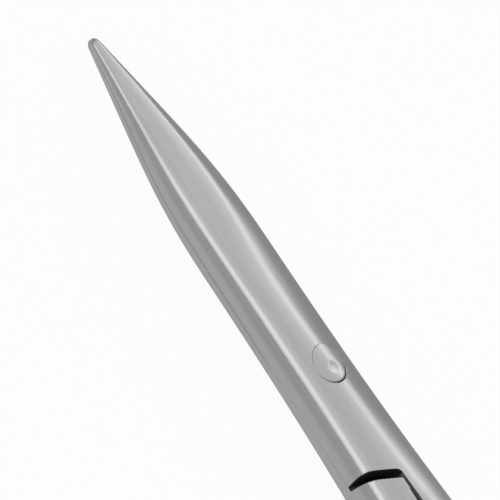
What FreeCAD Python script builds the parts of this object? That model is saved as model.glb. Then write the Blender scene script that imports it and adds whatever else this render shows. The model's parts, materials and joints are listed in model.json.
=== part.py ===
"""Straight tenotomy scissors: two forged halves that cross at a flat lap joint and turn on one riveted pin.

Frame: X runs along the scissors with the tips towards -X, Y runs across them and Z runs up, along the pin.
The scissors lie flat and closed. Both halves have one form: the lower one is the upper one turned over about X.
"""

import FreeCAD, Part
import math
import os

import Sketcher
from FreeCAD import Placement, Rotation, Vector

UP = Vector(0, 0, 1)
NO_TURN = Rotation()

# Sections of the closed scissors, from the tips to the shank's root, with the pin at the one named joint.
# Each row gives, in millimetres, the run to the next section, half the width, the height of the spine, the height
# of the wall at the cutting edge, how far the ridge lies from the middle, and the radius that rounds the ridge.
SECTION_SIZES = ("run", "half_width", "spine_height", "edge_height", "ridge_offset", "ridge_radius")
SECTIONS = {
    "tip": (5.0, 0.32, 0.38, 0.27, 0.14, 0.4),
    "blade": (4.8, 1.19, 0.91, 0.44, 0.53, 0.8),
    "taper": (3.6, 2.09, 1.50, 0.47, 0.60, 1.2),
    "shoulder": (3.6, 2.35, 1.70, 0.60, 0.45, 1.6),
    "neck": (7.0, 2.42, 1.82, 0.60, 0.03, 2.0),
    "joint": (6.0, 2.56, 2.05, 0.56, 0.0, 2.5),
    "lap": (6.0, 2.60, 2.00, 0.80, 0.35, 3.0),
    "root": (10.0, 2.88, 1.95, 0.95, 1.30, 4.0),
}
AHEAD_OF_PIN = ("tip", "blade", "taper", "shoulder", "neck")

# Lengths are in millimetres and angles in degrees. A lean, fall, spread, taper or tilt is an angle.
SIZES = {
    # Grinding of the blades
    "face_fall": 4.5,
    "spine_round": 0.2,
    "edge_round": 0.1,
    "nose_fullness": 1.3,
    # Lap joint: where the lap ends and the shanks part
    "running_gap": 0.02,
    "lap_end_reach": 7.64,
    "lap_end_lean": 22.0,
    "lap_corner_fullness": 1.3,
    "shoulder_gap": 0.42,
    "shank_spread": 4.3,
    # Pin, its punch mark, and the worn mouth of the upper half's hole
    "pin_radius": 1.285,
    "pin_clearance": 0.03,
    "pin_proud": 0.03,
    "punch_radius": 0.9,
    "punch_depth": 0.2,
    "punch_place_x": 0.37,
    "punch_place_y": 0.12,
    "mouth_radius": 1.3,
    "mouth_place_x": 0.09,
    "mouth_place_y": 0.13,
    "mouth_floor": 0.8,
    # Shank and finger ring
    "handle_width": 2.4,
    "handle_lean": 3.0,
    "handle_thickness": 3.2,
    "handle_bevel": 0.8,
    "ring_reach": 74.0,
    "ring_end_radius": 9.0,
    "ring_side_radius": 15.0,
    "ring_spacing": 8.0,
    "ring_bar": 2.4,
    "ring_tilt": 5.0,
    "ring_gap": 2.0,
    "inner_blend_radius": 40.0,
    "outer_blend_radius": 9.0,
    # How far the cutting outlines run past the metal
    "cut_margin": 4.0,
}
for section, row in SECTIONS.items():
    for size, value in zip(SECTION_SIZES, row):
        SIZES[section + "_" + size] = value


def make_sheet(doc):
    """Writes every driving size into the spreadsheet, one named cell each."""
    sheet = doc.addObject("Spreadsheet::Sheet", "sizes")
    for row, (name, value) in enumerate(SIZES.items(), start=1):
        sheet.set("A%d" % row, name)
        sheet.set("B%d" % row, str(value))
        sheet.setAlias("B%d" % row, name)
    doc.recompute()
    return sheet


def number(item, text):
    """What an expression on the sheet comes to."""
    value = item.evalExpression(text)
    return float(getattr(value, "Value", value))


def origin_plane(body, role):
    """The body's own origin plane with that role."""
    return next(feature for feature in body.Origin.OriginFeatures if feature.Role == role)


def new_sketch(body, name, role, offset="0"):
    """A sketch on one of the body's origin planes, moved along the plane's normal by an expression."""
    sketch = body.newObject("Sketcher::SketchObject", name)
    sketch.AttachmentSupport = (origin_plane(body, role), "")
    sketch.MapMode = "FlatFace"
    sketch.AttachmentOffset = Placement(Vector(0, 0, number(sketch, offset)), NO_TURN)
    sketch.setExpression(".AttachmentOffset.Base.z", offset)
    return sketch


def drive(sketch, kind, *where, by):
    """Adds a dimension to the sketch and binds it to an expression on the sheet."""
    index = sketch.addConstraint(Sketcher.Constraint(kind, *where, number(sketch, by)))
    sketch.setExpression("Constraints[%d]" % index, by)


def place_point(sketch, geometry, point, x, y):
    """Holds a point of the sketch at two expressions, measured from the sketch's origin."""
    drive(sketch, "DistanceX", -1, 1, geometry, point, by=x)
    drive(sketch, "DistanceY", -1, 1, geometry, point, by=y)


def arc_between(centre, radius, start, end):
    """The arc that runs counterclockwise about its centre from the direction of start to that of end."""
    angles = [math.atan2(point.y - centre.y, point.x - centre.x) for point in (start, end)]
    return Part.ArcOfCircle(Part.Circle(centre, UP, radius), *angles)


def draw_outline(sketch, corners):
    """A closed outline of straight lines. A corner is two expressions for its place and one for its radius.

    A corner with no radius stays sharp. A rounded one keeps its point, which lies on both of its lines.
    """
    count = len(corners)
    spots = [Vector(number(sketch, x), number(sketch, y), 0) for x, y, _ in corners]
    starts, ends, arcs = [], [], {}
    for i, spot in enumerate(spots):
        into = (spot - spots[i - 1]).normalize()
        away = (spots[(i + 1) % count] - spot).normalize()
        radius = number(sketch, corners[i][2]) if corners[i][2] else 0.0
        reach = radius * math.tan(into.getAngle(away) / 2)
        ends.append(spot - into * reach)
        starts.append(spot + away * reach)
        if radius:
            left = into.cross(away).z > 0
            centre = ends[i] + UP.cross(into) * (radius if left else -radius)
            tips = (ends[i], starts[i]) if left else (starts[i], ends[i])
            arcs[i] = (arc_between(centre, radius, *tips), left)
    base = sketch.GeometryCount
    for i in range(count):
        sketch.addGeometry(Part.LineSegment(starts[i], ends[(i + 1) % count]))
    for i, (x, y, radius) in enumerate(corners):
        before, after = base + (i - 1) % count, base + i
        if not radius:
            sketch.addConstraint(Sketcher.Constraint("Coincident", before, 2, after, 1))
            place_point(sketch, after, 1, x, y)
            continue
        arc = sketch.addGeometry(arcs[i][0])
        from_end, to_end = (1, 2) if arcs[i][1] else (2, 1)
        corner = sketch.addGeometry(Part.Point(spots[i]), True)
        sketch.addConstraint(Sketcher.Constraint("Tangent", before, 2, arc, from_end))
        sketch.addConstraint(Sketcher.Constraint("Tangent", arc, to_end, after, 1))
        sketch.addConstraint(Sketcher.Constraint("PointOnObject", corner, 1, before))
        sketch.addConstraint(Sketcher.Constraint("PointOnObject", corner, 1, after))
        drive(sketch, "Radius", arc, by=radius)
        place_point(sketch, corner, 1, x, y)


def section_place(name):
    """The expression for a section's place along X, measured from the pin."""
    names = list(SECTIONS)
    if name in AHEAD_OF_PIN:
        between = names[names.index(name):names.index("joint")]
        return "-(" + " + ".join("sizes.%s_run" % other for other in between) + ")"
    between = names[names.index("joint"):names.index(name)]
    return " + ".join(["0"] + ["sizes.%s_run" % other for other in between])


HANDLE_PLACE = section_place("root") + " + sizes.root_run"

# One half in its own frame: its flat inner face looks down, half a running gap above the middle, and the shank's
# inner wall starts half a running gap beside it.
HALF_GAP = "sizes.running_gap / 2"
SPLIT = "(sizes.lap_end_reach + sizes.shoulder_gap / cos(sizes.lap_end_lean))"
FAR_SIDE = "(sizes.root_half_width + sizes.cut_margin)"
FAR_AHEAD = section_place("tip") + " - sizes.cut_margin"
FAR_BEHIND = section_place("root") + " + sizes.cut_margin"


def inner_wall(place):
    """The expression for how far the shank's inner wall stands from the middle, at a place along X."""
    return "(%s + (%s - %s) * tan(sizes.shank_spread))" % (HALF_GAP, place, SPLIT)


def minus(text):
    """The same expression with its sign turned."""
    return "-(%s)" % text


def envelope_section(body, name, rise):
    """One section of the closed scissors, which looks the same after half a turn about the long axis."""
    sketch = new_sketch(body, "%s_%s_section" % (body.Name, name), "YZ_Plane", section_place(name))
    width, spine, edge, offset, radius = ("sizes.%s_%s" % (name, size) for size in SECTION_SIZES[1:])
    ridge = "%s - (%s + %s) * tan(sizes.face_fall) + %s" % (spine, width, offset, rise)
    above = [
        (width, edge + " + " + rise, "sizes.edge_round"),
        (offset, ridge, radius),
        (minus(width), spine + " + " + rise, "sizes.spine_round"),
    ]
    below = [(minus(x), minus(y), size) for x, y, size in above]
    draw_outline(sketch, below + above)
    return sketch


def make_envelope(body, rise="0"):
    """The ground outside of the closed scissors, from the tips to the shank's root, with its heights raised."""
    sketches = [envelope_section(body, name, rise) for name in SECTIONS]
    loft = body.newObject("PartDesign::AdditiveLoft", body.Name + "_envelope")
    loft.Profile = sketches[0]
    loft.Sections = sketches[1:]
    body.Document.recompute()
    return loft


def cut_through(body, name, sketch, upwards):
    """Cuts away all that lies on one side of the sketch, inside its outline."""
    pocket = body.newObject("PartDesign::Pocket", name)
    pocket.Profile = sketch
    pocket.Type = "ThroughAll"
    pocket.Reversed = upwards
    body.Document.recompute()
    return pocket


def cut_lap_joint(body):
    """Takes the other half's share away: all below the inner face, and all behind the lap's end but the shank."""
    far_wall = inner_wall("(" + FAR_BEHIND + ")")
    below = new_sketch(body, "shoulder_outline", "XY_Plane", HALF_GAP)
    draw_outline(below, [
        (FAR_AHEAD, minus(FAR_SIDE), ""),
        (FAR_BEHIND, minus(FAR_SIDE), ""),
        (FAR_BEHIND, far_wall, ""),
        (SPLIT, HALF_GAP, ""),
        ("%s - (%s - %s) * tan(sizes.lap_end_lean)" % (SPLIT, FAR_SIDE, HALF_GAP), FAR_SIDE, ""),
        (FAR_AHEAD, FAR_SIDE, ""),
    ])
    cut_through(body, "shoulder", below, False)
    above = new_sketch(body, "lap_end_outline", "XY_Plane", HALF_GAP)
    lap_end_start = "sizes.lap_end_reach - (%s + %s) * tan(sizes.lap_end_lean)" % (FAR_SIDE, HALF_GAP)
    draw_outline(above, [
        (lap_end_start, minus(FAR_SIDE), ""),
        (FAR_BEHIND, minus(FAR_SIDE), ""),
        (FAR_BEHIND, far_wall, ""),
        (SPLIT, HALF_GAP, ""),
        ("sizes.lap_end_reach", HALF_GAP, "sizes.lap_corner_fullness * sizes.shoulder_gap"),
    ])
    return cut_through(body, "lap_end", above, True)


RING_RISE = "sqrt((sizes.ring_side_radius - sizes.ring_end_radius) ^ 2 - (sizes.ring_spacing / 2) ^ 2)"
RING_MIDDLE = "(sizes.ring_gap / 2 + sizes.ring_side_radius - %s * cos(sizes.ring_tilt))" % RING_RISE
HANDLE_WALL = "(%s + sizes.root_run * tan((sizes.shank_spread + sizes.handle_lean) / 2))" % (
    inner_wall("(" + section_place("root") + ")"))


def blend_centre(line_point, line_direction, offset, centre, reach):
    """The centre of a circle that touches a line at an offset and stands at a reach from another centre."""
    start = line_point + UP.cross(line_direction) * offset - centre
    along = start.dot(line_direction)
    return start + centre + line_direction * (-along - math.sqrt(along ** 2 - start.dot(start) + reach ** 2))


def ring_centres(sketch):
    """The centres of the ring's two end arcs and two side arcs: front, rear, inner side, outer side."""
    tilt = math.radians(number(sketch, "sizes.ring_tilt"))
    along, across = Vector(math.cos(tilt), math.sin(tilt), 0), Vector(-math.sin(tilt), math.cos(tilt), 0)
    half_spacing, rise = number(sketch, "sizes.ring_spacing / 2"), number(sketch, RING_RISE)
    front_y = RING_MIDDLE + " - sizes.ring_spacing / 2 * sin(sizes.ring_tilt)"
    front = Vector(number(sketch, "sizes.ring_reach"), number(sketch, front_y), 0)
    middle = front + along * half_spacing
    return front, middle + along * half_spacing, middle + across * rise, middle - across * rise


def hold_ring(sketch, front, rear, sides, bar):
    """Dimensions for a ring's outline: where its end arcs stand, and its four radii less the width of the bar."""
    spread = " %s sizes.ring_spacing / 2 * sin(sizes.ring_tilt)"
    place_point(sketch, front, 3, "sizes.ring_reach", RING_MIDDLE + spread % "-")
    rear_x = "sizes.ring_reach + sizes.ring_spacing * cos(sizes.ring_tilt)"
    place_point(sketch, rear, 3, rear_x, RING_MIDDLE + spread % "+")
    for arc in (front, rear):
        drive(sketch, "Radius", arc, by="sizes.ring_end_radius - " + bar)
    for arc in sides:
        drive(sketch, "Radius", arc, by="sizes.ring_side_radius - " + bar)


def draw_handle(sketch):
    """The shank's straight edges, run by long blends into the finger ring's oval, and the ring's opening."""
    front, rear, inner, outer = ring_centres(sketch)
    end_radius, side_radius = (number(sketch, "sizes.ring_%s_radius" % part) for part in ("end", "side"))
    inner_blend, outer_blend = (number(sketch, "sizes.%s_blend_radius" % side) for side in ("inner", "outer"))
    lean = math.radians(number(sketch, "sizes.handle_lean"))
    along = Vector(math.cos(lean), math.sin(lean), 0)
    start_x, wall = number(sketch, HANDLE_PLACE), number(sketch, HANDLE_WALL)
    near = Vector(start_x, wall, 0)
    far = near + Vector(0, number(sketch, "sizes.handle_width"), 0)
    low = blend_centre(near, along, -inner_blend, inner, side_radius + inner_blend)
    high = blend_centre(far, along, outer_blend, front, end_radius + outer_blend)
    across = UP.cross(along)
    low_line, high_line = low + across * inner_blend, high - across * outer_blend
    low_ring = inner + (low - inner).normalize() * side_radius
    high_ring = front + (high - front).normalize() * end_radius
    joins = [end + (end - side).normalize() * end_radius for end, side in (
        (rear, inner), (rear, outer), (front, outer), (front, inner))]
    sketch.addGeometry([
        Part.LineSegment(far, near),
        Part.LineSegment(near, low_line),
        arc_between(low, inner_blend, low_ring, low_line),
        arc_between(inner, side_radius, low_ring, joins[0]),
        arc_between(rear, end_radius, joins[0], joins[1]),
        arc_between(outer, side_radius, joins[1], joins[2]),
        arc_between(front, end_radius, joins[2], high_ring),
        arc_between(high, outer_blend, high_line, high_ring),
        Part.LineSegment(far, high_line),
    ])
    for first, first_end, second, second_end in (
        (1, 2, 2, 2), (2, 1, 3, 1), (3, 2, 4, 1), (4, 2, 5, 1), (5, 2, 6, 1), (6, 2, 7, 2), (7, 1, 8, 2)):
        sketch.addConstraint(Sketcher.Constraint("Tangent", first, first_end, second, second_end))
    sketch.addConstraint(Sketcher.Constraint("Coincident", 0, 2, 1, 1))
    sketch.addConstraint(Sketcher.Constraint("Coincident", 0, 1, 8, 1))
    sketch.addConstraint(Sketcher.Constraint("Vertical", 0))
    place_point(sketch, 1, 1, HANDLE_PLACE, HANDLE_WALL)
    drive(sketch, "DistanceY", 0, 2, 0, 1, by="sizes.handle_width")
    for line in (1, 8):
        drive(sketch, "Angle", line, by="sizes.handle_lean")
    hold_ring(sketch, 6, 4, (3, 5), "0")
    drive(sketch, "Radius", 2, by="sizes.inner_blend_radius")
    drive(sketch, "Radius", 7, by="sizes.outer_blend_radius")
    drive(sketch, "Distance", 3, 3, 6, 3, by="sizes.ring_side_radius - sizes.ring_end_radius")
    bar = number(sketch, "sizes.ring_bar")
    joins = [end + (end - side).normalize() * (end_radius - bar) for end, side in (
        (rear, inner), (rear, outer), (front, outer), (front, inner))]
    hole = sketch.addGeometry([
        arc_between(inner, side_radius - bar, joins[3], joins[0]),
        arc_between(rear, end_radius - bar, joins[0], joins[1]),
        arc_between(outer, side_radius - bar, joins[1], joins[2]),
        arc_between(front, end_radius - bar, joins[2], joins[3]),
    ])
    for first, second in zip(hole, hole[1:] + hole[:1]):
        sketch.addConstraint(Sketcher.Constraint("Tangent", first, 2, second, 1))
    hold_ring(sketch, hole[3], hole[1], (hole[0], hole[2]), "sizes.ring_bar")


def make_handle(body):
    """The shank and finger ring: one flat forging with all its edges well broken."""
    outline = new_sketch(body, "handle_outline", "XY_Plane")
    draw_handle(outline)
    pad = body.newObject("PartDesign::Pad", "handle_blank")
    pad.Profile = outline
    pad.SideType = "Symmetric"
    pad.setExpression("Length", "sizes.handle_thickness")
    body.Document.recompute()
    start, half = number(pad, HANDLE_PLACE), number(pad, "sizes.handle_thickness / 2")

    def on_rim(edge):
        box = edge.BoundBox
        return box.ZLength < half and box.XMax > start + 1e-6

    bevel = body.newObject("PartDesign::Chamfer", "handle_edges")
    bevel.Base = (pad, ["Edge%d" % i for i, edge in enumerate(pad.Shape.Edges, start=1) if on_rim(edge)])
    bevel.setExpression("Size", "sizes.handle_bevel")
    body.Document.recompute()
    return bevel


def face_across(shape, place):
    """The name of the flat face that lies across X at that place."""
    for i, face in enumerate(shape.Faces, start=1):
        box = face.BoundBox
        if box.XLength < 1e-5 and abs(box.XMin - place) < 1e-5:
            return "Face%d" % i
    raise ValueError("no face across X at %g" % place)


def join_shank(body):
    """The shank's root: from the joint's ground section to the start of the handle's bevelled one."""
    whole = body.Tip
    loft = body.newObject("PartDesign::AdditiveLoft", "shank_root")
    loft.Profile = (whole, [face_across(whole.Shape, number(whole, section_place("root")))])
    loft.Sections = [(whole, [face_across(whole.Shape, number(whole, HANDLE_PLACE))])]
    loft.Ruled = True
    body.Document.recompute()
    return loft


NOSE_RADIUS = "(sizes.nose_fullness * sqrt(sizes.tip_half_width ^ 2 + (sizes.tip_spine_height / 2) ^ 2))"


def round_nose(body):
    """Turns the blade's front corner to a ball, about a line through the middle of the tip's height."""
    sketch = new_sketch(body, "nose_outline", "XY_Plane", "sizes.tip_spine_height / 2")
    tip, radius = number(sketch, section_place("tip")), number(sketch, NOSE_RADIUS)
    front = tip - number(sketch, "sizes.cut_margin")
    spots = ((tip, 0), (front, 0), (front, radius), (tip + radius, radius))
    corners = [Vector(x, y, 0) for x, y in spots]
    sketch.addGeometry(arc_between(Vector(tip + radius, 0, 0), radius, corners[3], corners[0]))
    for start, end in zip(corners, corners[1:]):
        sketch.addGeometry(Part.LineSegment(start, end))
    for before, after in ((0, 1), (1, 2), (2, 3)):
        sketch.addConstraint(Sketcher.Constraint("Coincident", before, 2, after, 1))
    sketch.addConstraint(Sketcher.Constraint("Tangent", 3, 2, 0, 1))
    sketch.addConstraint(Sketcher.Constraint("Horizontal", 1))
    sketch.addConstraint(Sketcher.Constraint("Vertical", 2))
    sketch.addConstraint(Sketcher.Constraint("Horizontal", 3))
    for point in (2, 3):
        sketch.addConstraint(Sketcher.Constraint("PointOnObject", 0, point, -1))
    drive(sketch, "DistanceX", -1, 1, 0, 3, by=section_place("tip") + " + " + NOSE_RADIUS)
    drive(sketch, "DistanceX", -1, 1, 1, 2, by=section_place("tip") + " - sizes.cut_margin")
    drive(sketch, "Radius", 0, by=NOSE_RADIUS)
    groove = body.newObject("PartDesign::Groove", "nose")
    groove.Profile = sketch
    groove.ReferenceAxis = (sketch, ["H_Axis"])
    groove.Angle = 360
    body.Document.recompute()
    return groove


def cut_round(body, name, radius, height, place=None):
    """Cuts a round hole upwards from a height, on the pin's axis or beside it."""
    sketch = new_sketch(body, name + "_outline", "XY_Plane", height)
    x, y = place or ("0", "0")
    centre = Vector(number(sketch, x), number(sketch, y), 0)
    sketch.addGeometry(Part.Circle(centre, UP, number(sketch, radius)))
    drive(sketch, "Radius", 0, by=radius)
    if place:
        place_point(sketch, 0, 3, x, y)
    else:
        sketch.addConstraint(Sketcher.Constraint("Coincident", 0, 3, -1, 1))
    return cut_through(body, name, sketch, True)


def make_forging(doc):
    """The form that both halves share, from the blade's nose to the finger ring, without the pin's hole."""
    body = doc.addObject("PartDesign::Body", "forging")
    body.AllowCompound = True
    make_handle(body)
    make_envelope(body)
    cut_lap_joint(body)
    join_shank(body)
    round_nose(body)
    return body


def make_half(doc, name, forging, hole_radius):
    """One half: the forging with its hole for the pin."""
    body = doc.addObject("PartDesign::Body", name)
    body.BaseFeature = forging
    doc.recompute()
    cut_round(body, name + "_pin_hole", hole_radius, "0")
    return body


def make_pin(doc):
    """The pin, ground off with the halves so that its ends carry their crown, a little proud of it."""
    body = doc.addObject("PartDesign::Body", "pivot_pin")
    make_envelope(body, "sizes.pin_proud")
    sketch = new_sketch(body, "pin_outline", "XY_Plane")
    draw_outline(sketch, [
        (FAR_AHEAD, minus(FAR_SIDE), ""),
        (FAR_BEHIND, minus(FAR_SIDE), ""),
        (FAR_BEHIND, FAR_SIDE, ""),
        (FAR_AHEAD, FAR_SIDE, ""),
    ])
    circle = sketch.addGeometry(Part.Circle(Vector(), UP, number(sketch, "sizes.pin_radius")))
    sketch.addConstraint(Sketcher.Constraint("Coincident", circle, 3, -1, 1))
    drive(sketch, "Radius", circle, by="sizes.pin_radius")
    pocket = body.newObject("PartDesign::Pocket", "pin_shank")
    pocket.Profile = sketch
    pocket.Type = "ThroughAll"
    pocket.SideType = "Symmetric"
    doc.recompute()
    return body


def press_punch_mark(body):
    """The round mark of the punch that spread the pin's upper end, a little off its middle."""
    mark = body.newObject("PartDesign::SubtractiveSphere", "punch_mark")
    mark.AttachmentSupport = (origin_plane(body, "XY_Plane"), "")
    mark.MapMode = "FlatFace"
    fall = "(sizes.joint_half_width + sizes.joint_ridge_offset) * tan(sizes.face_fall)"
    place = {
        "x": "sizes.punch_place_x",
        "y": "sizes.punch_place_y",
        "z": "sizes.joint_spine_height - " + fall + " + sizes.pin_proud + sizes.punch_radius - sizes.punch_depth",
    }
    for axis, text in place.items():
        mark.setExpression(".AttachmentOffset.Base." + axis, text)
    mark.setExpression("Radius", "sizes.punch_radius")
    body.Document.recompute()


def place_part(forging, bodies):
    """Sets the scissors on the ground, the middle of their length over the origin and the lower half turned over."""
    box = forging.Shape.optimalBoundingBox(False, False)
    spot = Vector(-(box.XMin + box.XMax) / 2, 0, box.ZMax)
    for body in bodies:
        half_turn = Rotation(Vector(1, 0, 0), 180) if body.Name == "lower_half" else NO_TURN
        body.Placement = Placement(spot, half_turn)
    print("pivot at %.4f, %.4f, %.4f; overall length %.3f" % (spot.x, spot.y, spot.z, box.XLength))


def check(doc, bodies):
    """Stops the build if any feature failed or any part's shape is missing, broken or in pieces."""
    for item in doc.Objects:
        if "Invalid" in item.State or "Error" in item.State:
            raise ValueError("%s: %s" % (item.Name, item.State))
    for body in bodies:
        shape = body.Shape
        if shape.isNull() or not shape.isValid() or len(shape.Solids) != 1:
            raise ValueError("bad shape: " + body.Name)
        print("%s: %.2f cubic millimetres, %d faces" % (body.Name, shape.Volume, len(shape.Faces)))


def main():
    os.makedirs("parts", exist_ok=True)
    doc = FreeCAD.newDocument("tenotomy_scissors")
    make_sheet(doc)
    forging = make_forging(doc)
    upper = make_half(doc, "upper_half", forging, "sizes.pin_radius + sizes.pin_clearance")
    mouth_place = ("sizes.mouth_place_x", "sizes.mouth_place_y")
    cut_round(upper, "worn_mouth", "sizes.mouth_radius", "sizes.mouth_floor", mouth_place)
    lower = make_half(doc, "lower_half", forging, "sizes.pin_radius")
    pin = make_pin(doc)
    press_punch_mark(pin)
    bodies = (upper, lower, pin)
    place_part(forging, bodies)
    doc.recompute()
    check(doc, bodies)
    for body in bodies:
        body.Shape.exportStep("parts/%s.step" % body.Name)


main()
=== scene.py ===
"""Straight tenotomy scissors, closed: two satin steel halves on a riveted pin, lying on a white table."""

import json
import math

import bmesh
import bpy
import numpy as np
from mathutils import Matrix, Vector


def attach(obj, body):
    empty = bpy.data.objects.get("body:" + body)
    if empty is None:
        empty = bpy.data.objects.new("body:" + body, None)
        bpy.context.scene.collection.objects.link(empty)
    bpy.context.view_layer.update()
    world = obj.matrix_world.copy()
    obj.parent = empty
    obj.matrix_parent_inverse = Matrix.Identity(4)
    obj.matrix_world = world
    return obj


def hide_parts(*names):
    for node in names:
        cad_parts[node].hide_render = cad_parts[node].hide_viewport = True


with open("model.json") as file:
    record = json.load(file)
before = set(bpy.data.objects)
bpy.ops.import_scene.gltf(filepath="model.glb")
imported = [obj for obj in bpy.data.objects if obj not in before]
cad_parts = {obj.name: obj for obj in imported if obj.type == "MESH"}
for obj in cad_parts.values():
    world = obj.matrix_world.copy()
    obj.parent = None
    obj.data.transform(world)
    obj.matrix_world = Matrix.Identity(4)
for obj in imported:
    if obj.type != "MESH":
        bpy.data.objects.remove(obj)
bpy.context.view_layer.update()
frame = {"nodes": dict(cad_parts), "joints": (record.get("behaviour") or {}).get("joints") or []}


# Upper half. It is one forging of stainless steel: a slim blade with a flat back and a ground bevel, the flat lap
# at the joint, and the shank with its finger ring. The blade and the joint are ground, then satin finished.

# The pin's place, then sections of the closed pair, in millimetres from the pin, with the tips ahead of it
PIVOT = np.array(frame["joints"][0]["pos_m"]) * 1000
PLACE = np.array([-24.0, -19.0, -14.2, -10.6, -7.0, 0.0, 6.0, 12.0])
HALF_WIDTH = np.array([0.29, 1.18, 2.09, 2.35, 2.42, 2.56, 2.60, 2.88])
BACK_HEIGHT = np.array([0.36, 0.90, 1.50, 1.70, 1.82, 2.03, 1.99, 1.95])
EDGE_HEIGHT = np.array([0.20, 0.44, 0.47, 0.60, 0.60, 0.56, 0.80, 0.95])
RIDGE_OFFSET = np.array([0.14, 0.60, 0.78, 0.63, 0.22, 0.32, 0.57, 1.30])

# The tip, where the blade's part meets the joint's, and where the joint's part meets the plain shank
TIP, JOINT_START, SHANK_START = -24.0, -2.0, 12.0

# The slopes of the flat face, of its crown and of the wall, then the crown's and the wall's knee as shares of the
# half width and the back's height, the bevel's bulge, and how far the back's and the edge's roundings reach
FACE_FALL, CROWN_FALL, SIDE_LEAN = (math.tan(math.radians(slope)) for slope in (4.5, 8, 9))
CROWN_SHARE, SIDE_KNEE, BELLY, BACK_SHARE, EDGE_REACH = 0.43, 0.42, 0.045, 0.36, 0.06

# Half the clearance between the inner faces, and the nudge that keeps neighbouring sides from lying in one line
HALF_GAP, NUDGE = 0.004, 0.001


def smooth_curve(values, x):
    """A natural cubic spline: pieces of third degree through the values at PLACE, bending evenly where they meet."""
    step = np.diff(PLACE)
    inner = np.arange(1, len(PLACE) - 1)
    matrix = np.eye(len(PLACE))
    matrix[inner, inner - 1], matrix[inner, inner + 1] = step[:-1], step[1:]
    matrix[inner, inner] = 2 * (step[:-1] + step[1:])
    right = np.zeros(len(PLACE))
    right[inner] = 6 * np.diff(np.diff(values) / step)
    bend = np.linalg.solve(matrix, right)
    i = np.clip(np.searchsorted(PLACE, x) - 1, 0, len(step) - 1)
    a, b, h = x - PLACE[i], PLACE[i + 1] - x, step[i]
    cubic = (bend[i] * b ** 3 + bend[i + 1] * a ** 3) / (6 * h)
    return cubic + (values[i] / h - bend[i] * h / 6) * b + (values[i + 1] / h - bend[i + 1] * h / 6) * a


def section_at(x):
    """Half width, back height, edge height, ridge offset and ridge height of the pair, along x."""
    width, back, edge, offset = (
        smooth_curve(values, x) for values in (HALF_WIDTH, BACK_HEIGHT, EDGE_HEIGHT, RIDGE_OFFSET))
    return width, back, edge, offset, back - (width + offset) * FACE_FALL


def upper_corners(x, fade=2.5):
    """The corners above the parting plane, and how far from each its rounding reaches: edge, belly, ridge, crown,
    back and side. The crown is where the ground back starts to roll over towards the ridge, the belly is the bevel's
    own slight bulge, and above the side corner the wall leans in a little. The reaches are shares that nearly
    meet, so that the surface bends all the way. Over the last stretch before the shank, crown, belly and lean fade
    away, because the shank is plain."""
    width, back, edge, offset, ridge = section_at(x)
    ground = np.clip((SHANK_START - x) / fade, 0, 1)
    plain = 1 - ground
    roll, bevel = CROWN_SHARE * width, width - offset
    belly = ((width + offset) / 2, (edge + ridge) / 2 + ground * BELLY * bevel)
    roll_start = (offset - roll, ridge + ground * roll * CROWN_FALL + NUDGE)
    top = (-width + ground * SIDE_LEAN * (1 - SIDE_KNEE) * back, back)
    corners = [(width, edge), belly, (offset, ridge), roll_start, top, (-width - NUDGE, SIDE_KNEE * back)]
    shorter = np.minimum(roll, bevel / 2)
    reaches = [
        np.full_like(x, EDGE_REACH), (0.46 * ground + 0.02) * shorter, (0.48 * ground + 0.93 * plain) * shorter,
        (0.48 * ground + 0.02) * roll, (BACK_SHARE * ground + 0.1 * plain) * back, 0.2 * back]
    return [np.stack(corner, 1) for corner in corners], reaches


def round_corners(corners, reaches, steps, between):
    """Closed outlines, one a row, from corner points: each corner becomes an arc that leaves its sides at its reach
    from the corner, with that many steps, and each side between two arcs gets that many points on a line."""
    into = corners - np.roll(corners, 1, axis=1)
    into /= np.linalg.norm(into, axis=2, keepdims=True)
    away = np.roll(into, -1, axis=1)
    turn = np.arctan2(into[..., 0] * away[..., 1] - into[..., 1] * away[..., 0], (into * away).sum(2))
    start = corners - into * reaches[..., None]
    left = np.stack([-into[..., 1], into[..., 0]], axis=2)
    centre = start + left * (reaches / np.tan(turn / 2))[..., None]
    arm = start - centre
    arcs = []
    for k, count in enumerate(steps):
        angle = turn[:, k, None] * np.linspace(0, 1, count + 1)
        x, y = arm[:, k, :1], arm[:, k, 1:]
        turned = [x * np.cos(angle) - y * np.sin(angle), x * np.sin(angle) + y * np.cos(angle)]
        arcs.append(centre[:, k, None] + np.stack(turned, axis=2))
    loop = []
    for k, arc in enumerate(arcs):
        share = np.linspace(0, 1, between[k] + 2)[1:-1, None]
        loop += [arc, arc[:, -1:] * (1 - share) + arcs[(k + 1) % len(arcs)][:, :1] * share]
    return np.concatenate(loop, axis=1)


def solid(rows):
    """A closed mesh from rows of outline points: a quad between each four neighbours and a face over each end."""
    count, around = rows.shape[:2]
    index = np.arange(count * around).reshape(count, around)
    onward = np.roll(index, -1, axis=1)
    quads = np.stack([index[:-1], onward[:-1], onward[1:], index[1:]], axis=2).reshape(-1, 4)
    mesh = bpy.data.meshes.new("solid")
    mesh.from_pydata(rows.reshape(-1, 3), [], quads.tolist() + [index[0, ::-1].tolist(), index[-1].tolist()])
    shape = bmesh.new()
    shape.from_mesh(mesh)
    bmesh.ops.recalc_face_normals(shape, faces=shape.faces)
    shape.to_mesh(mesh)
    shape.free()
    return mesh


def lengthwise(x, outline):
    """Rows of points in space: the outline of each row, in Y and Z, set at its place along X."""
    return np.concatenate([np.broadcast_to(x[:, None, None], outline.shape[:2] + (1,)), outline], axis=2)


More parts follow.
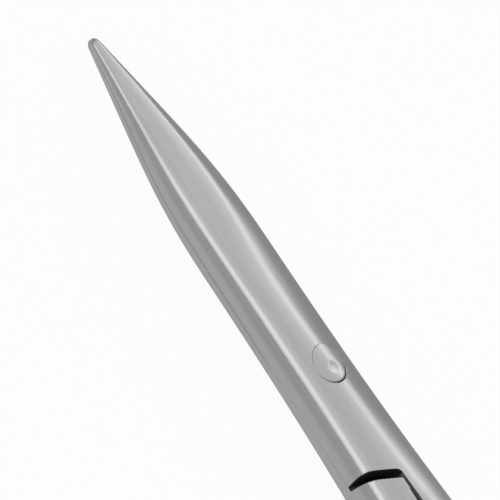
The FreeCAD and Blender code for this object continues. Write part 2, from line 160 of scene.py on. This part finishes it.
def blade_front(nose=0.42, edge_radius=0.006):
    """The blade from its nose to just ahead of the joint: the upper part of the section, closed by the flat inner
    face. Over the nose each section shrinks about a line along the tip, as an ellipse does towards its end."""
    nose_rows = TIP + nose * (1 - np.cos(np.linspace(0, math.pi / 2, 22)))
    x = np.concatenate([nose_rows, np.linspace(-23.3, JOINT_START, 150)])
    width, above, reaches = section_at(x)[0], *upper_corners(x)
    flat, small = np.full_like(x, HALF_GAP), np.full_like(x, edge_radius)
    corners = np.stack([np.stack([width, flat], 1), *above, np.stack([-width, flat], 1)], axis=1)
    reaches = np.stack([small, *reaches, small], 1)
    outline = round_corners(corners, reaches, (2, 6, 8, 10, 8, 10, 6, 2), (3, 2, 2, 3, 5, 1, 3, 8))
    axis = np.array([0, 0.35 * BACK_HEIGHT[0]])
    share = np.sqrt(np.clip(1 - np.clip((TIP + nose - x) / nose, 0, 1) ** 2, 1e-4, None))
    return solid(lengthwise(x, axis + (outline - axis) * share[:, None, None]))


def pair_outside(x):
    """The whole section of the closed pair: the rounded corners above, and the same ones turned half round."""
    above, reaches = upper_corners(x)
    corners = np.stack([-corner for corner in above] + above, axis=1)
    reaches = np.stack(reaches * 2, 1)
    return solid(lengthwise(x, round_corners(corners, reaches, (6, 8, 10, 8, 10, 6) * 2, (2, 2, 3, 5, 1, 8) * 2)))


# How far the cutting tools go ahead of the joint's part, above it and below it
PAST = 9


def prism(outline, low, high, slip=0):
    """A block over a flat outline, from one height to another, whose top has slipped along X."""
    outline = np.array(outline, float)
    return solid(np.stack([np.insert(outline + (move, 0), 2, z, axis=1) for z, move in ((low, 0), (high, slip))]))


def round_bar(radius, low=-PAST, high=PAST, x=0, y=0):
    """A cylinder: a circle about a point, from one height to another."""
    angle = np.linspace(0, 2 * math.pi, 161)[:-1]
    return prism(np.stack([x + radius * np.cos(angle), y + radius * np.sin(angle)], 1), low, high)


def linked(name, data):
    """A new object for a mesh, a lamp or a camera, linked to the scene."""
    item = bpy.data.objects.new(name, data)
    bpy.context.scene.collection.objects.link(item)
    return item


def cut(mesh, tools):
    """The mesh with each tool's solid taken out of it."""
    work = linked("work", mesh)
    for tool in tools:
        cutter = linked("cutter", tool)
        change = work.modifiers.new("cut", "BOOLEAN")
        change.operation, change.solver, change.object = "DIFFERENCE", "EXACT", cutter
        result = bpy.data.meshes.new_from_object(work.evaluated_get(bpy.context.evaluated_depsgraph_get()))
        work.modifiers.clear()
        work.data = result
        bpy.data.objects.remove(cutter)
    result = work.data
    bpy.data.objects.remove(work)
    return result


# The lap joint in plan: the lap's slanted end at its foot and at the back's height, and the gap before the other
# half's shoulder. Then where the shanks part, how fast, and half the slot's width there, and how far behind and to
# the sides the cutting tools go
LAP_FOOT, LAP_END, SHOULDER_GAP, SLANT = 7.88, 7.54, 0.58, math.radians(22)
LEAN, SPREAD = math.tan(SLANT), math.tan(math.radians(4.3))
SPLIT, SLOT_HALF = LAP_END + SHOULDER_GAP / math.cos(SLANT), 0.09
BEHIND, FAR = 20.0, 8.0


def lap_tools(corner=0.25, sharp=1e-4):
    """What the two halves take from each other: all below the inner face but the shank, and all above it behind
    the lap's end, which leans back and whose inner corner is rounded."""
    behind, slot = (BEHIND, -FAR), [(BEHIND, HALF_GAP + (BEHIND - SPLIT) * SPREAD), (SPLIT, SLOT_HALF)]
    below = [(-PAST, -FAR), behind, *slot, (SPLIT - (FAR - HALF_GAP) * LEAN, FAR), (-PAST, FAR)]
    corners = np.array([[(LAP_FOOT - (FAR + HALF_GAP) * LEAN, -FAR), behind, *slot, (LAP_FOOT, HALF_GAP)]])
    reaches = np.array([[sharp, sharp, sharp, sharp, corner]])
    above = round_corners(corners, reaches, (1, 1, 1, 1, 12), (0, 0, 0, 0, 0))[0]
    height, back_height = 4, 2
    slip = height / back_height * (LAP_END - LAP_FOOT)
    return [prism(below, -PAST, HALF_GAP), prism(above, HALF_GAP, height, slip)]


def joint_part(hole_tools):
    """The joint and the start of the shank: the pair's outside with the other half's share and the hole cut out."""
    return cut(pair_outside(np.linspace(JOINT_START, SHANK_START, 113)), lap_tools() + hole_tools)


def handle_copy(node, turned, rounding=0.0003):
    """The shank and ring behind the joint, copied from the forged solid, the chamfers' edges rounded over."""
    shape = bmesh.new()
    shape.from_mesh(frame["nodes"][node].data)
    bmesh.ops.remove_doubles(shape, verts=shape.verts, dist=2e-6)
    place = Vector((PIVOT[0] + SHANK_START, 0, 0)) / 1000
    everything = shape.verts[:] + shape.edges[:] + shape.faces[:]
    bmesh.ops.bisect_plane(shape, geom=everything, plane_co=place, plane_no=(1, 0, 0), clear_inner=True, dist=1e-7)
    bmesh.ops.holes_fill(shape, edges=[edge for edge in shape.edges if edge.is_boundary], sides=0)
    bmesh.ops.dissolve_limit(shape, angle_limit=0.01, verts=shape.verts, edges=shape.edges)
    # The chamfers' edges, which turn by roughly an eighth of a circle
    rims = [edge for edge in shape.edges if len(edge.link_faces) == 2 and 0.6 < edge.calc_face_angle() < 1.0
            and min(vert.co.x for vert in edge.verts) > place.x + 1e-6]
    bmesh.ops.bevel(shape, geom=rims, offset=rounding, segments=4, profile=0.5, affect="EDGES", clamp_overlap=True)
    mesh = bpy.data.meshes.new("handle")
    shape.to_mesh(mesh)
    shape.free()
    mesh.transform(Matrix.Translation(Vector(-PIVOT / 1000)))
    mesh.transform(Matrix.Scale(1000, 4))
    if turned:
        mesh.transform(Matrix.Rotation(math.pi, 4, "X"))
    return mesh


# Where the painted gap shade starts on the inner face, just ahead of the lap's end
FLOOR_START = LAP_FOOT - 0.1


def gap_faces(mesh):
    """Which faces of a half lie inside its narrow gaps, which get painted shade: the shoulder, the lap's end with
    its rounded corner, the floor between them, the shank's inner wall near the joint and the hole's wall. They are
    told by where their middles lie and by how far they face along X, Y or Z."""
    middle, facing = np.zeros(len(mesh.polygons) * 3), np.zeros(len(mesh.polygons) * 3)
    mesh.polygons.foreach_get("center", middle)
    mesh.polygons.foreach_get("normal", facing)
    (x, y, z), facing = middle.reshape(-1, 3).T, np.abs(facing.reshape(-1, 3))
    inner = (np.abs(y) < 1) & (facing[:, 2] < 0.5)
    shoulder = ((facing[:, 0] > 0.7) | inner) & (x > 4.5) & (x < SPLIT + 0.1)
    floor = (facing[:, 2] > 0.99) & (np.abs(z) < 0.05) & (x + LEAN * y > FLOOR_START)
    wall = (np.abs(y) < 0.95) & (facing[:, 1] > 0.9) & (x > 7) & (x < 19.9)
    hole = (np.hypot(x, y) < 1.6) & (facing[:, 2] < 0.3)
    return shoulder | floor | wall | hole


def into_frame(mesh, sharp):
    """Moves a mesh from millimetres about the pin to the frame's metres, and shades it smooth up to an angle."""
    mesh.transform(Matrix.Translation(Vector(PIVOT)))
    mesh.transform(Matrix.Scale(0.001, 4))
    mesh.shade_smooth()
    mesh.set_sharp_from_angle(angle=math.radians(sharp))


def half(name, node, body, hole_tools, turned):
    """One finished half: its parts joined, set in the frame's place and metres, and shaded smooth between edges."""
    shape = bmesh.new()
    for part in (blade_front(), joint_part(hole_tools), handle_copy(node, turned)):
        shape.from_mesh(part)
    # The flat inner face is split where its painted gap shade starts, so that each share of it can have its own
    # steel
    flat = [face for face in shape.faces if abs(face.normal.z) > 0.99 and abs(face.calc_center_median().z) < 0.05]
    around = {part for face in flat for part in face.verts[:] + face.edges[:]}
    bmesh.ops.bisect_plane(shape, geom=flat + list(around), plane_co=(FLOOR_START, 0, 0), plane_no=(1, LEAN, 0))
    mesh = bpy.data.meshes.new(name)
    shape.to_mesh(mesh)
    shape.free()
    # The faces inside the gaps get the steel with painted shade
    mesh.polygons.foreach_set("material_index", gap_faces(mesh).astype(np.int32))
    mesh.materials.append(blade_steel)
    mesh.materials.append(painted_gap_shade)
    if turned:
        mesh.transform(Matrix.Rotation(math.pi, 4, "X"))
    into_frame(mesh, 32)
    piece = linked(name, mesh)
    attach(piece, body)
    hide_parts(node)


def steel(name, colour, roughness, bevel_shade):
    """Satin stainless steel: metal whose ground lines run lengthwise, with painted shade that darkens its walls and
    its bevel by which way they face.
    """
    material = bpy.data.materials.new(name)
    material.use_nodes = True
    nodes, links = material.node_tree.nodes, material.node_tree.links
    shader = nodes["Principled BSDF"]
    shader.inputs["Metallic"].default_value = 1.0
    place = nodes.new("ShaderNodeTexCoord")
    streaks_and_shade_node = nodes.new("ShaderNodeGroup")
    streaks_and_shade_node.node_tree = streaks_and_shade
    links.new(place.outputs["Object"], streaks_and_shade_node.inputs["Place"])
    links.new(place.outputs["Normal"], streaks_and_shade_node.inputs["Facing"])
    for label, value in (("Colour", colour + (1,)), ("Roughness", roughness), ("Bevel Shade", bevel_shade)):
        streaks_and_shade_node.inputs[label].default_value = value
    links.new(streaks_and_shade_node.outputs["Colour"], shader.inputs["Base Color"])
    links.new(streaks_and_shade_node.outputs["Roughness"], shader.inputs["Roughness"])
    bump = nodes.new("ShaderNodeBump")
    bump.inputs["Strength"].default_value = 0.07
    bump.inputs["Distance"].default_value = 0.00002
    links.new(streaks_and_shade_node.outputs["Height"], bump.inputs["Height"])
    links.new(bump.outputs["Normal"], shader.inputs["Normal"])
    return material


def worked_out(tree, operation, *sources):
    """A math node's result, from other nodes' outputs or plain numbers."""
    node = tree.nodes.new("ShaderNodeMath")
    node.operation = operation
    for socket, source in zip(node.inputs, sources):
        if isinstance(source, float):
            socket.default_value = source
        else:
            tree.links.new(source, socket)
    return node.outputs["Value"]


def streaks_and_shade_group():
    """Ground lines and painted shade as a node group: noise drawn out along X sets the height and changes colour and
    roughness a little, broad soft noise adds handling marks, and painted shade darkens the upright walls and the
    bevel by which way they face."""
    group = bpy.data.node_groups.new("lengthwise noise and painted shade", "ShaderNodeTree")
    for label, kind in (("Place", "Vector"), ("Facing", "Vector"), ("Colour", "Color"), ("Roughness", "Float"),
                        ("Bevel Shade", "Float")):
        group.interface.new_socket(label, in_out="INPUT", socket_type="NodeSocket" + kind)
    for label, kind in (("Colour", "Color"), ("Roughness", "Float"), ("Height", "Float")):
        group.interface.new_socket(label, in_out="OUTPUT", socket_type="NodeSocket" + kind)
    nodes, links = group.nodes, group.links
    given, result = nodes.new("NodeGroupInput"), nodes.new("NodeGroupOutput")

    def noise(scale, stretch, detail):
        mapping = nodes.new("ShaderNodeMapping")
        mapping.inputs["Scale"].default_value = (scale / stretch, scale, scale)
        links.new(given.outputs["Place"], mapping.inputs["Vector"])
        texture = nodes.new("ShaderNodeTexNoise")
        texture.inputs["Scale"].default_value = 1.0
        texture.inputs["Detail"].default_value = detail
        links.new(mapping.outputs["Vector"], texture.inputs["Vector"])
        return texture.outputs["Fac"]

    def ranged(value, low, high, from_low=0.3, from_high=0.7):
        node = nodes.new("ShaderNodeMapRange")
        for label, number in (("From Min", from_low), ("From Max", from_high), ("To Min", low), ("To Max", high)):
            node.inputs[label].default_value = number
        links.new(value, node.inputs["Value"])
        return node.outputs["Result"]

    def product(first, second):
        return worked_out(group, "MULTIPLY", first, second)

    fine, broad = noise(9000, 45, 3), noise(900, 9, 3)
    axes = nodes.new("ShaderNodeSeparateXYZ")
    links.new(given.outputs["Facing"], axes.inputs["Vector"])
    upright = product(axes.outputs["Z"], axes.outputs["Z"])
    # Painted shade on the walls: the steel's colour is darkened by how upright the surface faces
    wall = nodes.new("ShaderNodeValToRGB")
    while len(wall.color_ramp.elements) < 4:
        wall.color_ramp.elements.new(0.5)
    for stop, (spot, grey) in zip(wall.color_ramp.elements, ((0.0, 0.84), (0.014, 0.66), (0.06, 0.70), (0.3, 1.0))):
        stop.position, stop.color = spot, (grey, grey, grey, 1)
    links.new(upright, wall.inputs["Fac"])
    # Painted shade on the bevel: the colour is darkened where the facing leans both up and sideways
    bevel = ranged(product(axes.outputs["Y"], axes.outputs["Z"]), 1, 0, 0.21, 0.45)
    links.new(given.outputs["Bevel Shade"], bevel.node.inputs["To Max"])
    marks = product(ranged(fine, 0.98, 1.02), ranged(broad, 0.97, 1.03))
    shade = product(marks, product(wall.outputs["Color"], bevel))
    # Of the mix node's many sockets, inputs 6 and 7 and output 2 are the ones for colours
    tint = nodes.new("ShaderNodeMix")
    tint.data_type, tint.blend_type = "RGBA", "MULTIPLY"
    tint.inputs["Factor"].default_value = 1.0
    links.new(given.outputs["Colour"], tint.inputs[6])
    links.new(shade, tint.inputs[7])
    links.new(tint.outputs[2], result.inputs["Colour"])
    wear = product(ranged(fine, 0.95, 1.05), ranged(broad, 0.95, 1.05))
    links.new(product(wear, given.outputs["Roughness"]), result.inputs["Roughness"])
    links.new(fine, result.inputs["Height"])
    return group


# The hole that runs on the pin, and its mouth, which is worn a little wider towards the shank and the bevel
PIN_HOLE = 1.295
WORN_MOUTH = {"radius": 1.30, "low": 0.8, "x": 0.06, "y": 0.10}
SATIN = {"colour": (0.60, 0.60, 0.60), "roughness": 0.36, "bevel_shade": 0.45}
streaks_and_shade = streaks_and_shade_group()
blade_steel = steel("satin blade steel", **SATIN)

# Inside the gaps the steel is painted dark as shade, and along the shank's inner wall that painted shade fades into
# the satin steel
painted_gap_shade = steel("steel with painted gap shade", (0.12, 0.12, 0.12), 0.6, 0.9)
nodes, links = painted_gap_shade.node_tree.nodes, painted_gap_shade.node_tree.links
along, shade_fade = nodes.new("ShaderNodeSeparateXYZ"), nodes.new("ShaderNodeMapRange")
links.new(nodes["Texture Coordinate"].outputs["Object"], along.inputs["Vector"])
links.new(along.outputs["X"], shade_fade.inputs["Value"])
for label, number in (("From Min", (PIVOT[0] + SPLIT + 2) / 1000), ("From Max", (PIVOT[0] + SPLIT + 6) / 1000),
                      ("To Min", 0.12), ("To Max", 0.6)):
    shade_fade.inputs[label].default_value = number
links.new(shade_fade.outputs["Result"], nodes["Group"].inputs["Colour"])
half("upper", "upper_half", "upper", [round_bar(PIN_HOLE), round_bar(**WORN_MOUTH)], False)


# Lower half. It is the same forging turned over about its length, and it holds the riveted pin in its hole.

PIN_RADIUS = 1.285
half("lower", "lower_half", "lower", [round_bar(PIN_RADIUS + 0.004)], True)


# Pivot pin. It is a steel rivet, spread with a punch and then ground off with the halves, so that its ends carry
# their crown. The punch has left a shallow round mark a little off its middle.

def crown(x, y, patch=1.4, spacing=0.1):
    """The pair's upper surface over a patch: at each x the rounded section's height, read off at y."""
    shape = np.broadcast(x, y).shape
    flat_x, flat_y = (np.broadcast_to(v, shape).ravel() for v in (x, y))
    stations = np.linspace(-patch, patch, 29)
    above, reaches = upper_corners(stations)
    floor = [np.stack([side * section_at(stations)[0], 0 * stations], 1) for side in (1, -1)]
    corners = np.stack([floor[0], *above, floor[1]], axis=1)
    tiny = np.full_like(stations, 1e-4)
    reaches = np.stack([tiny, *reaches, tiny], 1)
    outline = round_corners(corners, reaches, (1, 6, 8, 12, 8, 10, 6, 1), (0, 8, 8, 10, 20, 0, 0, 0))
    heights = np.stack([np.interp(flat_y, row[::-1, 0], row[::-1, 1]) for row in outline[:, 2:-2]])
    spot = np.clip((flat_x + patch) / spacing, 0, len(stations) - 1.001)
    low = spot.astype(int)
    column = np.arange(flat_x.size)
    mixed = heights[low, column] * (1 - spot + low) + heights[low + 1, column] * (spot - low)
    return mixed.reshape(shape)


def pin_rows(proud=0.075, tilt=0.06, rim=0.03, far_rim=0.2, mark=(0.35, 0.10), mark_reach=0.55, depth=0.07):
    """The pin's surface as rings: out over the upper crown, round its rim, down the side and in under the lower
    crown. Each end stands a little proud of the crown, most towards the shank and the bevel, where its rim's
    rounding is also widest. The mark is a dip whose depth falls off as a cosine, from its middle to nothing."""
    angle, bend = np.linspace(0, 2 * math.pi, 129)[:-1], np.linspace(0.2, math.pi / 2, 10)[:, None]
    leaning = np.cos(angle - math.radians(60))
    rim = rim + (far_rim - rim) * (0.5 + 0.5 * leaning) ** 2
    inner = PIN_RADIUS - rim
    rings = np.linspace(0.02, 1, 48)[:, None] * inner
    reach = np.concatenate([rings, inner + rim * np.sin(bend)])
    drop = np.concatenate([np.zeros_like(rings), np.minimum(rim, 0.12) * (1 - np.cos(bend))])
    drop -= proud + tilt * reach / PIN_RADIUS * leaning
    x, y = reach * np.cos(angle), reach * np.sin(angle)
    away = np.clip(np.hypot(x - mark[0], y - mark[1]) / mark_reach, 0, 1)
    top = crown(x, y) - drop - depth * (0.5 + 0.5 * np.cos(math.pi * away))
    upper_rows, lower_rows = np.stack([x, y, top], 2), np.stack([x, -y, drop - crown(x, y)], 2)
    return np.concatenate([upper_rows, lower_rows[::-1, ::-1]])


pin_mesh = solid(pin_rows())
into_frame(pin_mesh, 50)
pin = linked("pin", pin_mesh)
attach(pin, "lower")
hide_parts("pivot_pin")
pin.data.materials.append(steel("satin pin steel", **SATIN))


# Table. It is a plain white studio surface, bright enough to read as white, that still takes the shadow.

table_mesh = bpy.data.meshes.new("table")
table_mesh.from_pydata([(-2, -2, 0), (2, -2, 0), (2, 2, 0), (-2, 2, 0)], [], [(0, 1, 2, 3)])
table = linked("table", table_mesh)
surface = bpy.data.materials.new("white table")
surface.use_nodes = True
nodes, links = surface.node_tree.nodes, surface.node_tree.links
nodes["Principled BSDF"].inputs["Base Color"].default_value = (0.8, 0.8, 0.8, 1)
nodes["Principled BSDF"].inputs["Roughness"].default_value = 0.9

# The camera sees it nearly white, the steel mirrors some of that white, and soft light meets the plain surface
glow = nodes.new("ShaderNodeEmission")
rays = nodes.new("ShaderNodeLightPath")
seen = worked_out(surface.node_tree, "MAXIMUM", rays.outputs["Is Camera Ray"], rays.outputs["Is Transmission Ray"])
mirrored = worked_out(surface.node_tree, "MULTIPLY_ADD", rays.outputs["Is Glossy Ray"], 0.4, seen)
share = worked_out(surface.node_tree, "MULTIPLY", mirrored, 0.95)
blend = nodes.new("ShaderNodeMixShader")
links.new(share, blend.inputs["Fac"])
links.new(nodes["Principled BSDF"].outputs["BSDF"], blend.inputs[1])
links.new(glow.outputs["Emission"], blend.inputs[2])
links.new(blend.outputs["Shader"], nodes["Material Output"].inputs["Surface"])
table.data.materials.append(surface)


# Light. A soft sky, one wide lamp over the scissors and a low one beyond them that draws the ridge's bright line.

world = bpy.data.worlds.new("studio")
bpy.context.scene.world = world
world.use_nodes = True
nodes, links = world.node_tree.nodes, world.node_tree.links
direction = nodes.new("ShaderNodeTexCoord")
axes = nodes.new("ShaderNodeSeparateXYZ")
links.new(direction.outputs["Generated"], axes.inputs["Vector"])
sky = nodes.new("ShaderNodeValToRGB")
links.new(axes.outputs["Z"], sky.inputs["Fac"])
sky.color_ramp.elements.new(0.5)
for stop, (spot, grey) in zip(sky.color_ramp.elements, ((0.05, 0.05), (0.65, 0.58), (1.0, 0.8))):
    stop.position, stop.color = spot, (grey, grey, grey, 1)
links.new(sky.outputs["Color"], nodes["Background"].inputs["Color"])


def lamp(name, place, length, height, power):
    """A long area lamp that lies along X, with its middle at a place, in metres, facing the joint."""
    data = bpy.data.lights.new(name, "AREA")
    data.shape, data.size, data.size_y, data.energy = "RECTANGLE", length, height, power
    item = linked(name, data)
    item.location = place
    item.rotation_euler = (Vector(PIVOT / 1000) - item.location).to_track_quat("-Z", "Y").to_euler()


lamp("near lamp", (-0.1, -0.56, 0.42), 0.8, 0.58, 1.22)
lamp("far lamp", (-0.12, 0.65, 0.245), 0.4, 0.26, 0.49)


# Camera. It looks along +Y, fifty degrees down, from far off with a long lens, rolled so that the tips point to
# the upper left. The pin's middle is held at its place in the picture.

LENS_DISTANCE, PIXELS_PER_MM, ROLL, DOWN = 0.6, 16.71, math.radians(56.38), math.radians(50)
PICTURE, PIN_SPOT = 500, (312.7, 373.3)
across, upward = np.array([1, 0, 0]), np.array([0, math.sin(DOWN), math.cos(DOWN)])
right = math.cos(ROLL) * across + math.sin(ROLL) * upward
up = -math.sin(ROLL) * across + math.cos(ROLL) * upward
back = np.cross(right, up)
past_pin = [(PICTURE / 2 - spot) / PIXELS_PER_MM for spot in PIN_SPOT]
middle = PIVOT + past_pin[0] * right - past_pin[1] * up
view = bpy.data.cameras.new("camera")
view.lens = view.sensor_width * LENS_DISTANCE * 1000 / (PICTURE / PIXELS_PER_MM)
view.clip_start, view.clip_end = 0.01, 20
camera = linked("camera", view)
pose = np.eye(4)
pose[:3, 0], pose[:3, 1], pose[:3, 2], pose[:3, 3] = right, up, back, middle / 1000 + back * LENS_DISTANCE
camera.matrix_world = Matrix(pose.tolist())
bpy.context.scene.camera = camera
bpy.context.scene.view_settings.view_transform = "Standard"
